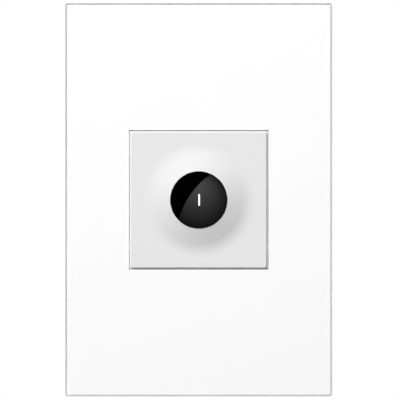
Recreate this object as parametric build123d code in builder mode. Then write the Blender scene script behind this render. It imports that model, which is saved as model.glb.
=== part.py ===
from build123d import *
import math
import os

# Touchless wave switch with its screwless wall plate, for a one-gang wall box. Sizes are millimetres.
# The wall surface is Y = 0, the room lies towards -Y, X points right and Z up.
# A "front" or "back" value is a distance in front of the wall, so what sits inside the wall has a minus.
# Small screws, their holes and the round components are drawn with eight flats, and leads are square.

os.makedirs("parts", exist_ok=True)

small_sides = 8

# Wall plate
plate_width = 88.4
plate_height = 130.3
plate_depth = 7.0
plate_wall = 1.8
plate_draft = 3.5
plate_edge = 0.4
opening_edge = 0.2
collar_depth = 2.2
collar_wall = 1.2
rib_wall = 1.2
rib_depth = 3.0
rib_inset = 4.65
pad_size = 4.0
pad_spacing = 40.0
pad_inset = 4.0
pad_gap = 0.1
notch_width = 12.0
notch_depth = 1.2

# Snap hooks of the wall plate, and the windows of the frame that they catch in
hook_width = 8.0
hook_thickness = 1.5
hook_gap = 0.25
hook_bite = 0.6
hook_spacing = 60.0
hook_tip_gap = 1.2
catch_back_gap = 0.4
catch_height = 1.6
catch_side_gap = 1.0
barb_gap = 0.2
barb_flat = 0.5

# Stamped steel frame
frame_gap = 0.3
sheet = 1.2
bend_radius = 0.6
frame_width = 70.0
frame_height = 106.0
frame_corner = 3.0
flange_height = 84.0
flange_depth = 3.9
window_gap = 0.3
lip_gap = 0.6
lip_height = 30.0
lip_depth = 3.0
lip_relief = 1.2
slot_length = 8.0
slot_width = 4.4

# Screws that hold the frame to the wall box, and their fibre retainers
box_screw_spacing = 83.34
box_screw_radius = 1.75
box_screw_neck = 1.4
box_screw_length = 19.05
box_screw_head_radius = 3.4
box_screw_head = 2.0
driver_slot_width = 1.0
driver_slot_depth = 1.0
retainer_size = 8.0
retainer_thickness = 0.8
retainer_gap = 0.15

# Ground screw
ground_x = -20.0
ground_z = -34.0
ground_radius = 1.75
ground_across_flats = 6.4
ground_head = 2.2
ground_length = 3.4
thread_gap = 0.05

# Face cover with its bell
module_size = 45.8
reveal = 0.3
cover_proud = 0.8
cover_wall = 1.6
cover_edge = 0.35
bell_margin = 4.0
bell_slope = 22.0
bell_foot_bend = 15.2
bell_wall = 1.6
bell_lip = 1.25
post_length = 1.6
post_size = 2.6
post_inset = 3.5

# Lens and indicator bar
lens_radius = 9.43
lens_gap = 0.1
lens_rise = 0.15
lens_bore_radius = 8.3
lens_hollow = 1.6
dome_radius = 16.7
lens_flange_width = 1.2
lens_flange = 1.0
seat_gap = 0.05
bar_width = 0.75
bar_height = 4.05
bar_gap = 0.03
bar_foot_width = 2.6
bar_foot_height = 4.9
bar_foot = 0.8
bar_led_gap = 0.3

# Sensor board and what is on it
sensor_board_gap = 0.7
sensor_board_thickness = 1.2
diode_radius = 1.5
diode_nose = 0.5
diode_rise = 1.1
diode_offset = 5.4
diode_gap = 0.2
diode_lead = 0.45
lead_pitch = 2.54
lead_gap = 0.2
lead_tail = 0.8
status_led_size = 2.8
status_led_height = 1.9
status_led_eye = 1.1
status_led_eye_depth = 0.3
status_led_gap = 0.3
chip_width = 4.0
chip_length = 10.0
chip_height = 1.4
chip_x = -9.0
chip_z = 8.0
chip_pins = 8
chip_pin_pitch = 1.27
chip_pin_width = 0.45
chip_pin_reach = 1.0
chip_pin_height = 0.4

# Housing of the module
housing_inset = 1.1
housing_corner = 3.0
housing_wall = 1.6
rear_wall = 1.8
bezel = 1.3
spigot_gap = 0.1
spigot_clearance = 0.7
split_depth = 8.0
housing_depth = 36.0
rear_edge = 0.8
tongue = 1.5
tongue_gap = 0.05
tongue_wall = 0.65
boss_inset = 3.8
boss_radius = 2.9
boss_front = 1.8
ledge_width = 4.0
ledge_reach = 1.6
ledge_spacing = 24.0
latch_width = 10.0
latch_slot = 0.8
latch_root = 6.5
latch_bite = 0.8
latch_ramp = 4.5
latch_gap = 0.05
nub_width = 6.0
nub_reach = 0.35
nub_height = 0.8
nub_lift = 0.9
nub_gap = 0.15

# Housing screws
case_screw_radius = 1.1
case_screw_grip = 6.5
case_screw_seat = 14.0
case_screw_gap = 0.2
case_screw_head_radius = 1.9
case_screw_head = 1.6
case_screw_recess_gap = 0.15

# Power board and what is on it
power_board_gap = 0.4
power_board_depth = 16.0
power_board_thickness = 1.6
board_boss_gap = 0.25
board_rib_width = 8.0
board_rib_reach = 1.3
board_rib_z = 6.0
relay_width = 19.0
relay_height = 15.5
relay_length = 15.0
relay_inset = 12.1
relay_z = 4.75
film_width = 6.0
film_height = 13.0
film_length = 11.0
film_inset = 8.6
film_z = 6.0
supply_radius = 5.0
supply_length = 16.0
supply_x = 7.5
front_row_inset = 6.1
coil_size = 12.0
coil_core_radius = 4.2
coil_cheek = 1.8
coil_length = 7.5
coil_x = -8.0
varistor_radius = 4.5
varistor_thickness = 4.0
varistor_stand = 1.5
varistor_inset = 6.6
varistor_z = -4.5
component_lead = 0.8
component_pitch = 5.0
header_pins = 5
header_inset = 2.8
header_z = -5.0
header_body = 8.5
header_width = 2.5
header_pin = 0.64

# Terminal block, its clamps and screws
poles = ("line", "load", "traveller", "neutral")
block_side_wall = 1.1
block_column_gap = 0.15
block_gap = 0.1
block_roof = 1.85
block_floor = 2.75
nose_step = 0.9
port_radius = 1.6
port_length = 3.0
clamp_height = 7.0
clamp_length = 6.0
clamp_wall = 0.9
clamp_thread_wall = 1.6
clamp_gap = 0.15
clamp_tail_width = 2.4
tail_hole_gap = 0.2
terminal_screw_radius = 1.6
terminal_screw_head_radius = 2.5
terminal_screw_head = 1.8
terminal_screw_length = 3.2
terminal_well_gap = 0.25

# Places that follow from the sizes above
plate_inner_front = plate_depth - plate_wall
opening = module_size + 2 * reveal
housing_size = module_size - 2 * housing_inset
frame_front = frame_gap + sheet
sheet_middle = frame_gap + sheet / 2
bend_outer = bend_radius + sheet
bend_middle = bend_radius + sheet / 2
window = housing_size + 2 * window_gap
lip_middle = housing_size / 2 + lip_gap + sheet / 2
lip_flat = housing_size / 2 + lip_gap + bend_outer
flange_middle = (frame_width - sheet) / 2
catch_back = frame_front + catch_back_gap
catch_front = catch_back + catch_height
hook_face = frame_width / 2 + hook_gap
retainer_back = frame_gap - retainer_thickness
box_screw_tip = frame_front - box_screw_length

cover_front = plate_depth + cover_proud
cover_inner_front = cover_front - cover_wall
cover_back = frame_front + bezel
cover_inner = module_size - 2 * cover_wall
slope = math.radians(bell_slope)
bell_foot_radius = module_size / 2 - bell_margin
bell_corner_radius = bell_foot_radius - bell_foot_bend * math.tan(slope / 2)
lens_hole_radius = lens_radius + lens_gap
bell_front = cover_front + (bell_corner_radius - lens_hole_radius) * math.tan(slope)
lens_seat = bell_front - bell_lip
lens_flange_radius = lens_radius + lens_flange_width
lens_flange_front = lens_seat - seat_gap
lens_flange_back = lens_flange_front - lens_flange
dome_middle = bell_front + lens_rise - math.sqrt(dome_radius**2 - lens_radius**2)
holder_radius = lens_flange_radius - lens_gap
sensor_board_front = cover_inner_front - post_length
sensor_board_back = sensor_board_front - sensor_board_thickness
status_led_front = sensor_board_front + status_led_height
bar_back = status_led_front + bar_led_gap
diode_front = lens_flange_back + diode_rise
diode_places = {
    "ir_emitter_left": (-diode_offset, 0),
    "ir_emitter_right": (diode_offset, 0),
    "ir_receiver": (0, -diode_offset),
}

housing_inner = housing_size - 2 * housing_wall
sensor_board_size = housing_inner - 2 * sensor_board_gap
post_spacing = sensor_board_size - 2 * post_inset
boss_spacing = housing_size - 2 * boss_inset
spigot_size = cover_inner - 2 * spigot_gap
spigot_front = cover_inner_front - spigot_clearance
split = -split_depth
housing_back = -housing_depth
rear_inner = housing_size - 2 * rear_wall
rear_inner_back = housing_back + rear_wall
screw_seat = -case_screw_seat
tongue_outer = housing_inner + 2 * tongue_wall
case_screw_tip = split + case_screw_grip
case_pilot_radius = case_screw_radius + thread_gap
recess_radius = case_screw_head_radius + case_screw_recess_gap

power_board_size = rear_inner - 2 * power_board_gap
power_board_front = -power_board_depth
power_board_back = power_board_front - power_board_thickness
board_notch = 2 * (boss_radius + board_boss_gap)
front_row_z = power_board_size / 2 - front_row_inset
header_x = power_board_size / 2 - header_inset
film_x = power_board_size / 2 - film_inset
relay_x = relay_inset - power_board_size / 2
varistor_x = varistor_inset - power_board_size / 2
header_row = (header_pins - 1) * lead_pitch
diode_lead_hole = diode_lead + 2 * lead_gap
component_hole = component_lead + 2 * lead_gap
header_hole = header_pin + 2 * lead_gap
component_places = (
    (film_x, film_z),
    (supply_x, front_row_z),
    (coil_x, front_row_z),
    (varistor_x, varistor_z),
)

pole_pitch = (boss_spacing - 2 * (boss_radius + block_column_gap) - block_side_wall) / len(poles)
pocket_width = pole_pitch - block_side_wall
clamp_width = pocket_width - 2 * clamp_gap
pocket_height = clamp_height + 2 * clamp_gap
block_width = len(poles) * pole_pitch + block_side_wall
block_height = block_floor + pocket_height + block_roof
block_bottom = block_gap - rear_inner / 2
block_middle = block_bottom + block_height / 2
pocket_back = housing_back + port_length
pocket_bottom = block_bottom + block_floor
clamp_bottom = pocket_bottom + clamp_gap
clamp_middle = clamp_bottom + clamp_height / 2
clamp_front = pocket_back + clamp_length
clamp_roof = clamp_bottom + clamp_height - clamp_wall
port_z = clamp_roof - clamp_gap - port_radius
tail_z = clamp_roof + clamp_wall / 2
tail_front = power_board_front + lead_tail
screw_axis_front = pocket_back + clamp_length / 2
well_radius = terminal_screw_head_radius + terminal_well_gap
pole_x = [(index - (len(poles) - 1) / 2) * pole_pitch for index in range(len(poles))]

# Half plane through the axis of the bell: its first direction is the radius, its second points to the room.
radial = Plane(origin=(0, 0, 0), x_dir=(1, 0, 0), z_dir=(0, 0, -1))


def facing(front):
    """Plane parallel to the wall, this far in front of it."""
    return Plane.XZ.offset(front)


def small_round(radius, mode=Mode.ADD):
    """Profile of a small round piece or hole: its flats stand this far from its axis, one of them to +X."""
    turn = 180 / small_sides
    return RegularPolygon(radius, small_sides, major_radius=False, rotation=turn, mode=mode)


# Wall plate: one moulding, drafted on its four sides and open at the back
with BuildPart() as wall_plate:
    with BuildSketch(facing(0)):
        Rectangle(plate_width, plate_height)
    extrude(amount=plate_depth, taper=plate_draft)
    chamfer(wall_plate.faces().sort_by(Axis.Y)[0].edges(), plate_edge)
    with BuildSketch(facing(0)):
        Rectangle(plate_width - 2 * plate_wall, plate_height - 2 * plate_wall)
    extrude(amount=plate_inner_front, taper=plate_draft, mode=Mode.SUBTRACT)
    with BuildSketch(facing(plate_inner_front - collar_depth)):
        Rectangle(opening + 2 * collar_wall, opening + 2 * collar_wall)
    extrude(amount=collar_depth)
    with BuildSketch(facing(plate_inner_front - rib_depth)):
        with GridLocations(0, plate_height - 2 * rib_inset, 1, 2):
            Rectangle(plate_width - 2 * plate_wall, rib_wall)
    extrude(amount=rib_depth)
    with BuildSketch(facing(frame_front + pad_gap)):
        with GridLocations(pad_spacing, frame_height - 2 * pad_inset, 2, 2):
            Rectangle(pad_size, pad_size)
    extrude(amount=plate_inner_front - frame_front - pad_gap)
    for z in (-hook_spacing / 2, hook_spacing / 2):
        with BuildSketch(Plane.XY.offset(z - hook_width / 2)):
            with BuildLine():
                Polyline(
                    (hook_face + hook_thickness, -plate_inner_front),
                    (hook_face, -plate_inner_front),
                    (hook_face, barb_gap - catch_front),
                    (frame_width / 2 - hook_bite, barb_gap - catch_front),
                    (frame_width / 2 - hook_bite, barb_gap + barb_flat - catch_front),
                    (hook_face, -catch_back - barb_gap),
                    (hook_face, -hook_tip_gap),
                    (hook_face + hook_thickness, -hook_tip_gap),
                    close=True,
                )
            make_face()
            mirror(about=Plane.YZ)
        extrude(amount=hook_width)
    with BuildSketch(facing(0)):
        Rectangle(opening, opening)
    extrude(amount=plate_depth, mode=Mode.SUBTRACT)
    chamfer(wall_plate.faces().sort_by(Axis.Y)[0].inner_wires()[0].edges(), opening_edge)
    with BuildSketch(facing(0)):
        with Locations((0, (plate_wall - plate_height) / 2)):
            Rectangle(notch_width, 2 * plate_wall)
    extrude(amount=notch_depth, mode=Mode.SUBTRACT)
wall_plate.part.label = "wall_plate"
export_step(wall_plate.part, "parts/wall_plate.step")

# Mounting frame: stamped sheet, its side flanges bent to the room and two window lips bent into the wall
with BuildPart() as mounting_frame:
    with BuildSketch(facing(frame_gap)):
        RectangleRounded(frame_width - 2 * bend_outer, frame_height, frame_corner)
        Rectangle(window, window, mode=Mode.SUBTRACT)
        Rectangle(2 * lip_flat, lip_height + 2 * lip_relief, mode=Mode.SUBTRACT)
        with GridLocations(0, box_screw_spacing, 1, 2):
            SlotOverall(slot_length, slot_width, mode=Mode.SUBTRACT)
        with Locations((ground_x, ground_z)):
            small_round(ground_radius + thread_gap, mode=Mode.SUBTRACT)
    extrude(amount=sheet)
    for side in (-1, 1):
        with BuildSketch(Plane.XY.offset(-flange_height / 2)):
            with BuildLine():
                FilletPolyline(
                    (side * (frame_width / 2 - 2 * bend_outer), -sheet_middle),
                    (side * flange_middle, -sheet_middle),
                    (side * flange_middle, -frame_gap - flange_depth),
                    radius=bend_middle,
                )
            trace(line_width=sheet)
        extrude(amount=flange_height)
        with BuildSketch(Plane.XY.offset(-lip_height / 2)):
            with BuildLine():
                FilletPolyline(
                    (side * (lip_flat + bend_outer), -sheet_middle),
                    (side * lip_middle, -sheet_middle),
                    (side * lip_middle, lip_depth),
                    radius=bend_middle,
                )
            trace(line_width=sheet)
        extrude(amount=lip_height)
    with BuildSketch(Plane.YZ.offset(-frame_width)):
        with Locations((-(catch_back + catch_front) / 2, 0)):
            with GridLocations(0, hook_spacing, 1, 2):
                Rectangle(catch_height, hook_width + 2 * catch_side_gap)
    extrude(amount=2 * frame_width, mode=Mode.SUBTRACT)
mounting_frame.part.label = "mounting_frame"
export_step(mounting_frame.part, "parts/mounting_frame.step")

# Box screws: slotted heads in front of the frame, a thinner neck in its slots, the thread behind it
with BuildPart() as mounting_screws:
    with BuildSketch(facing(box_screw_tip)):
        with GridLocations(0, box_screw_spacing, 1, 2):
            Circle(box_screw_radius)
    extrude(amount=retainer_back - retainer_gap - box_screw_tip)
    with BuildSketch(facing(retainer_back - retainer_gap)):
        with GridLocations(0, box_screw_spacing, 1, 2):
            small_round(box_screw_neck)
    extrude(amount=frame_front - retainer_back + retainer_gap)
    with BuildSketch(facing(frame_front)):
        with GridLocations(0, box_screw_spacing, 1, 2):
            small_round(box_screw_head_radius)
    extrude(amount=box_screw_head)
    with BuildSketch(facing(frame_front + box_screw_head - driver_slot_depth)):
        with GridLocations(0, box_screw_spacing, 1, 2):
            Rectangle(2 * box_screw_head_radius, driver_slot_width)
    extrude(amount=driver_slot_depth, mode=Mode.SUBTRACT)
mounting_screws.part.label = "mounting_screws"
export_step(mounting_screws.part, "parts/mounting_screws.step")

# Retainers: square fibre washers that keep the box screws in the frame
with BuildPart() as screw_retainers:
    with BuildSketch(facing(retainer_back)):
        with GridLocations(0, box_screw_spacing, 1, 2):
            Rectangle(retainer_size, retainer_size)
            small_round(box_screw_neck + retainer_gap, mode=Mode.SUBTRACT)
    extrude(amount=retainer_thickness)
screw_retainers.part.label = "screw_retainers"
export_step(screw_retainers.part, "parts/screw_retainers.step")

# Ground screw: hexagon head behind the frame, its thread through the sheet
with BuildPart() as ground_screw:
    with BuildSketch(facing(frame_gap - ground_head)):
        with Locations((ground_x, ground_z)):
            RegularPolygon(ground_across_flats / 2, 6, major_radius=False)
    extrude(amount=ground_head)
    with BuildSketch(facing(frame_gap - ground_head)):
        with Locations((ground_x, ground_z)):
            small_round(ground_radius)
    extrude(amount=ground_head + ground_length)
    with BuildSketch(facing(frame_gap - ground_head)):
        with Locations((ground_x, ground_z)):
            Rectangle(2 * ground_across_flats, driver_slot_width)
    extrude(amount=driver_slot_depth, mode=Mode.SUBTRACT)
ground_screw.part.label = "ground_screw"
export_step(ground_screw.part, "parts/ground_screw.step")

# Face cover: square cap whose front swells into a hollow bell round the lens
with BuildPart() as face_cover:
    with BuildSketch(facing(cover_back)):
        Rectangle(module_size, module_size)
    extrude(amount=cover_front - cover_back)
    chamfer(face_cover.faces().sort_by(Axis.Y)[0].edges(), cover_edge)
    with BuildSketch(radial):
        with BuildLine():
            swell = FilletPolyline(
                (lens_hole_radius, bell_front),
                (bell_corner_radius, cover_front),
                (bell_foot_radius + cover_wall, cover_front),
                radius=bell_foot_bend,
            )
            Polyline(
                swell @ 1,
                (bell_foot_radius + cover_wall, cover_inner_front),
                (0, cover_inner_front),
                (0, bell_front),
                swell @ 0,
            )
        make_face()
    revolve(axis=Axis.Y)
    with BuildSketch(facing(cover_back)):
        Rectangle(cover_inner, cover_inner)
    extrude(amount=cover_inner_front - cover_back, mode=Mode.SUBTRACT)
    with BuildSketch(radial):
        with BuildLine():
            Polyline(
                (lens_hole_radius, bell_front - bell_wall),
                (bell_corner_radius, cover_inner_front),
                (bell_corner_radius, cover_back),
                (0, cover_back),
                (0, bell_front - bell_wall),
                close=True,
            )
        make_face()
    revolve(axis=Axis.Y, mode=Mode.SUBTRACT)
    with BuildSketch(facing(cover_back)):
        Circle(lens_flange_radius + lens_gap)
    extrude(amount=lens_seat - cover_back, mode=Mode.SUBTRACT)
    with BuildSketch(facing(cover_back)):
        Circle(lens_hole_radius)
    extrude(amount=bell_front - cover_back, mode=Mode.SUBTRACT)
    with BuildSketch(facing(sensor_board_front)):
        with GridLocations(post_spacing, post_spacing, 2, 2):
            Rectangle(post_size, post_size)
    extrude(amount=post_length)
    with BuildSketch(facing(cover_back + nub_lift)):
        with PolarLocations(cover_inner / 2, 4):
            Rectangle(2 * nub_reach, nub_width)
    extrude(amount=nub_height)
face_cover.part.label = "face_cover"
export_step(face_cover.part, "parts/face_cover.step")

# Lens: infrared-black plastic, domed in front and flat behind, its flange held behind the rim of the bell
with BuildPart() as sensor_lens:
    with BuildSketch(facing(lens_flange_back)):
        Circle(lens_radius)
    extrude(amount=dome_middle + dome_radius - lens_flange_back)
    with Locations((0, -dome_middle, 0)):
        Sphere(dome_radius, mode=Mode.INTERSECT)
    with BuildSketch(facing(lens_flange_back)):
        Circle(lens_flange_radius)
    extrude(amount=lens_flange)
    with BuildSketch(facing(lens_flange_back)):
        Circle(lens_bore_radius)
    extrude(amount=lens_hollow, mode=Mode.SUBTRACT)
    with BuildSketch(facing(lens_flange_back)):
        Rectangle(bar_width + 2 * bar_gap, bar_height + 2 * bar_gap)
    extrude(amount=dome_middle + dome_radius - lens_flange_back, mode=Mode.SUBTRACT)
sensor_lens.part.label = "sensor_lens"
export_step(sensor_lens.part, "parts/sensor_lens.step")

# Indicator bar: clear light pipe, flush with the dome, its foot on the lens holder
with BuildPart() as indicator_bar:
    with BuildSketch(facing(bar_back)):
        Rectangle(bar_width, bar_height)
    extrude(amount=dome_middle + dome_radius - bar_back)
    with BuildSketch(facing(lens_flange_back)):
        Rectangle(bar_foot_width, bar_foot_height)
    extrude(amount=bar_foot)
    with Locations((0, -dome_middle, 0)):
        Sphere(dome_radius, mode=Mode.INTERSECT)
indicator_bar.part.label = "indicator_bar"
export_step(indicator_bar.part, "parts/indicator_bar.step")

# Lens holder: black rubber disc that presses the lens into the bell and keeps the diodes' light apart
with BuildPart() as lens_holder:
    with BuildSketch(facing(sensor_board_front)):
        Circle(holder_radius)
        with Locations(*diode_places.values()):
            small_round(diode_radius + diode_gap, mode=Mode.SUBTRACT)
        Rectangle(bar_width + 2 * status_led_gap, bar_height + 2 * status_led_gap, mode=Mode.SUBTRACT)
    extrude(amount=lens_flange_back - sensor_board_front)
    with BuildSketch(facing(sensor_board_front)):
        Rectangle(status_led_size + 2 * status_led_gap, status_led_size + 2 * status_led_gap)
    extrude(amount=bar_back - sensor_board_front, mode=Mode.SUBTRACT)
lens_holder.part.label = "lens_holder"
export_step(lens_holder.part, "parts/lens_holder.step")

# Sensor board behind the holder
with BuildPart() as sensor_board:
    with BuildSketch(facing(sensor_board_back)):
        Rectangle(sensor_board_size, sensor_board_size)
        with Locations(*diode_places.values()):
            with GridLocations(lead_pitch, 0, 2, 1):
                Rectangle(diode_lead_hole, diode_lead_hole, mode=Mode.SUBTRACT)
        with Locations((header_x, header_z)):
            with GridLocations(0, lead_pitch, 1, header_pins):
                Rectangle(header_hole, header_hole, mode=Mode.SUBTRACT)
    extrude(amount=sensor_board_thickness)
sensor_board.part.label = "sensor_board"
export_step(sensor_board.part, "parts/sensor_board.step")

# Two infrared emitters and the receiver: blunt-nosed diodes on two leads
for name, (x, z) in diode_places.items():
    with BuildPart() as diode:
        with BuildSketch(facing(sensor_board_front)):
            with Locations((x, z)):
                small_round(diode_radius)
        extrude(amount=diode_front - sensor_board_front)
        chamfer(diode.faces().sort_by(Axis.Y)[0].edges(), diode_nose)
        with BuildSketch(facing(sensor_board_back - lead_tail)):
            with Locations((x, z)):
                with GridLocations(lead_pitch, 0, 2, 1):
                    Rectangle(diode_lead, diode_lead)
        extrude(amount=sensor_board_thickness + lead_tail)
    diode.part.label = name
    export_step(diode.part, f"parts/{name}.step")

# Status light under the bar: a small cup with a round eye
with BuildPart() as status_led:
    with BuildSketch(facing(sensor_board_front)):
        Rectangle(status_led_size, status_led_size)
    extrude(amount=status_led_height)
    with BuildSketch(facing(status_led_front - status_led_eye_depth)):
        small_round(status_led_eye)
    extrude(amount=status_led_eye_depth, mode=Mode.SUBTRACT)
status_led.part.label = "status_led"
export_step(status_led.part, "parts/status_led.step")

# Control chip on the back of the sensor board, two rows of pins
with BuildPart() as control_chip:
    with BuildSketch(facing(sensor_board_back - chip_pin_height)):
        with Locations((chip_x, chip_z)):
            with GridLocations(0, chip_pin_pitch, 1, chip_pins):
                Rectangle(chip_width + 2 * chip_pin_reach, chip_pin_width)
    extrude(amount=chip_pin_height)
    with BuildSketch(facing(sensor_board_back - chip_height)):
        with Locations((chip_x, chip_z)):
            Rectangle(chip_width, chip_length)
    extrude(amount=chip_height)
control_chip.part.label = "control_chip"
export_step(control_chip.part, "parts/control_chip.step")

# Front housing: bezel on the frame, spigot for the face cover, and a body that latches behind the sheet
with BuildPart() as front_housing:
    with BuildSketch(facing(split)):
        RectangleRounded(housing_size, housing_size, housing_corner)
    extrude(amount=frame_front - split)
    with BuildSketch(facing(split - tongue)):
        RectangleRounded(tongue_outer, tongue_outer, housing_corner - (housing_size - tongue_outer) / 2)
    extrude(amount=tongue)
    with BuildSketch(facing(frame_front)):
        Rectangle(module_size, module_size)
    extrude(amount=bezel)
    with BuildSketch(facing(cover_back)):
        Rectangle(spigot_size, spigot_size)
    extrude(amount=spigot_front - cover_back)
    with BuildSketch(facing(split - tongue)):
        Rectangle(housing_inner, housing_inner)
    extrude(amount=spigot_front - split + tongue, mode=Mode.SUBTRACT)
    with BuildSketch(facing(split)):
        with GridLocations(boss_spacing, boss_spacing, 2, 2):
            small_round(boss_radius)
    extrude(amount=boss_front - split)
    with BuildSketch(facing(split)):
        with PolarLocations(housing_inner / 2 - ledge_reach / 2, 4):
            with GridLocations(0, ledge_spacing, 1, 2):
                Rectangle(ledge_reach, ledge_width)
    extrude(amount=sensor_board_back - split)
    with BuildSketch(facing(split)):
        with GridLocations(boss_spacing, boss_spacing, 2, 2):
            small_round(case_pilot_radius)
    extrude(amount=case_screw_grip + case_screw_gap, mode=Mode.SUBTRACT)
    with BuildSketch(facing(cover_back + nub_lift - nub_gap)):
        with PolarLocations(spigot_size / 2, 4):
            Rectangle(2 * (nub_reach - spigot_gap + nub_gap), nub_width + 2 * nub_gap)
    extrude(amount=nub_height + 2 * nub_gap, mode=Mode.SUBTRACT)
    with BuildSketch(Plane.XY.offset(-housing_size)):
        with Locations((0, -(frame_front - latch_root) / 2)):
            Rectangle(latch_width + 2 * latch_slot, frame_front + latch_root)
            Rectangle(latch_width, frame_front + latch_root, mode=Mode.SUBTRACT)
        with Locations((0, -(frame_front - latch_slot / 2))):
            Rectangle(latch_width + 2 * latch_slot, latch_slot)
    extrude(amount=2 * housing_size, mode=Mode.SUBTRACT)
    with BuildSketch(Plane.YZ.offset(-latch_width / 2)):
        with BuildLine():
            Polyline(
                (latch_gap - frame_gap, housing_size / 2 - housing_wall / 2),
                (latch_gap - frame_gap, window / 2 + latch_bite),
                (latch_gap - frame_gap + latch_ramp, housing_size / 2),
                (latch_gap - frame_gap + latch_ramp, housing_size / 2 - housing_wall / 2),
                close=True,
            )
        make_face()
        mirror(about=Plane.XZ)
    extrude(amount=latch_width)
front_housing.part.label = "front_housing"
export_step(front_housing.part, "parts/front_housing.step")

# Rear housing: open cup with corner columns for the screws, board ribs and the terminal opening
with BuildPart() as rear_housing:
    with BuildSketch(facing(housing_back)):
        RectangleRounded(housing_size, housing_size, housing_corner)
    extrude(amount=housing_depth - split_depth)
    chamfer(rear_housing.faces().sort_by(Axis.Y)[-1].edges(), rear_edge)
    with BuildSketch(facing(rear_inner_back)):
        Rectangle(rear_inner, rear_inner)
    extrude(amount=split - rear_inner_back, mode=Mode.SUBTRACT)
    with BuildSketch(facing(rear_inner_back)):
        with GridLocations(boss_spacing, boss_spacing, 2, 2):
            small_round(boss_radius)
    extrude(amount=split - rear_inner_back)
    with BuildSketch(facing(rear_inner_back)):
        with GridLocations(rear_inner - board_rib_reach, 0, 2, 1):
            with Locations((0, board_rib_z)):
                Rectangle(board_rib_reach, board_rib_width)
        with Locations((0, (rear_inner - board_rib_reach) / 2)):
            Rectangle(board_rib_width, board_rib_reach)
    extrude(amount=power_board_back - rear_inner_back)
    with BuildSketch(facing(split - tongue - tongue_gap)):
        RectangleRounded(
            tongue_outer + 2 * tongue_gap,
            tongue_outer + 2 * tongue_gap,
            housing_corner - (housing_size - tongue_outer) / 2,
        )
        Rectangle(housing_inner - 2 * tongue_gap, housing_inner - 2 * tongue_gap, mode=Mode.SUBTRACT)
    extrude(amount=tongue + tongue_gap, mode=Mode.SUBTRACT)
    with BuildSketch(facing(housing_back)):
        with GridLocations(boss_spacing, boss_spacing, 2, 2):
            small_round(recess_radius)
    extrude(amount=screw_seat - housing_back, mode=Mode.SUBTRACT)
    with BuildSketch(facing(housing_back)):
        with GridLocations(boss_spacing, boss_spacing, 2, 2):
            small_round(case_screw_radius + case_screw_gap)
    extrude(amount=split - housing_back, mode=Mode.SUBTRACT)
    with BuildSketch(facing(housing_back)):
        with Locations((0, block_middle)):
            Rectangle(
                block_width - 2 * nose_step + 2 * block_gap,
                block_height - 2 * nose_step + 2 * block_gap,
            )
    extrude(amount=rear_wall, mode=Mode.SUBTRACT)
    with BuildSketch(Plane.XY.offset(-housing_size / 2)):
        with Locations((0, -screw_axis_front)):
            Rectangle((len(poles) - 1) * pole_pitch + 2 * well_radius, 2 * well_radius)
    extrude(amount=rear_wall, mode=Mode.SUBTRACT)
rear_housing.part.label = "rear_housing"
export_step(rear_housing.part, "parts/rear_housing.step")

# Housing screws, from the back through the columns into the front housing
with BuildPart() as housing_screws:
    with BuildSketch(facing(screw_seat)):
        with GridLocations(boss_spacing, boss_spacing, 2, 2):
            small_round(case_screw_radius)
    extrude(amount=case_screw_tip - screw_seat)
    with BuildSketch(facing(screw_seat - case_screw_head)):
        with GridLocations(boss_spacing, boss_spacing, 2, 2):
            small_round(case_screw_head_radius)
    extrude(amount=case_screw_head)
housing_screws.part.label = "housing_screws"
export_step(housing_screws.part, "parts/housing_screws.step")

# Power board: cut clear of the columns, drilled for every lead
with BuildPart() as power_board:
    with BuildSketch(facing(power_board_back)):
        Rectangle(power_board_size, power_board_size)
        with GridLocations(boss_spacing, boss_spacing, 2, 2):
            Rectangle(board_notch, board_notch, mode=Mode.SUBTRACT)
        with Locations(*component_places):
            with GridLocations(component_pitch, 0, 2, 1):
                Rectangle(component_hole, component_hole, mode=Mode.SUBTRACT)
        with Locations((relay_x, relay_z)):
            with GridLocations(relay_width - component_pitch, relay_height - component_pitch, 2, 2):
                Rectangle(component_hole, component_hole, mode=Mode.SUBTRACT)
        with Locations((header_x, header_z)):
            with GridLocations(0, lead_pitch, 1, header_pins):
                Rectangle(header_hole, header_hole, mode=Mode.SUBTRACT)
        with Locations((0, tail_z)):
            with GridLocations(pole_pitch, 0, len(poles), 1):
                Rectangle(
                    clamp_tail_width + 2 * tail_hole_gap,
                    clamp_wall + 2 * tail_hole_gap,
                    mode=Mode.SUBTRACT,
                )
    extrude(amount=power_board_thickness)
power_board.part.label = "power_board"
export_step(power_board.part, "parts/power_board.step")

# Relay behind the power board, sealed box on four pins
with BuildPart() as relay:
    with BuildSketch(facing(power_board_back - relay_length)):
        with Locations((relay_x, relay_z)):
            Rectangle(relay_width, relay_height)
    extrude(amount=relay_length)
    with BuildSketch(facing(power_board_back)):
        with Locations((relay_x, relay_z)):
            with GridLocations(relay_width - component_pitch, relay_height - component_pitch, 2, 2):
                Rectangle(component_lead, component_lead)
    extrude(amount=power_board_thickness + lead_tail)
relay.part.label = "relay"
export_step(relay.part, "parts/relay.step")

# Film capacitor behind the power board
with BuildPart() as film_capacitor:
    with BuildSketch(facing(power_board_back - film_length)):
        with Locations((film_x, film_z)):
            Rectangle(film_width, film_height)
    extrude(amount=film_length)
    with BuildSketch(facing(power_board_back)):
        with Locations((film_x, film_z)):
            with GridLocations(component_pitch, 0, 2, 1):
                Rectangle(component_lead, component_lead)
    extrude(amount=power_board_thickness + lead_tail)
film_capacitor.part.label = "film_capacitor"
export_step(film_capacitor.part, "parts/film_capacitor.step")

# Supply capacitor in front of the power board
with BuildPart() as supply_capacitor:
    with BuildSketch(facing(power_board_front)):
        with Locations((supply_x, front_row_z)):
            small_round(supply_radius)
    extrude(amount=supply_length)
    with BuildSketch(facing(power_board_back - lead_tail)):
        with Locations((supply_x, front_row_z)):
            with GridLocations(component_pitch, 0, 2, 1):
                Rectangle(component_lead, component_lead)
    extrude(amount=power_board_thickness + lead_tail)
supply_capacitor.part.label = "supply_capacitor"
export_step(supply_capacitor.part, "parts/supply_capacitor.step")

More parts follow.
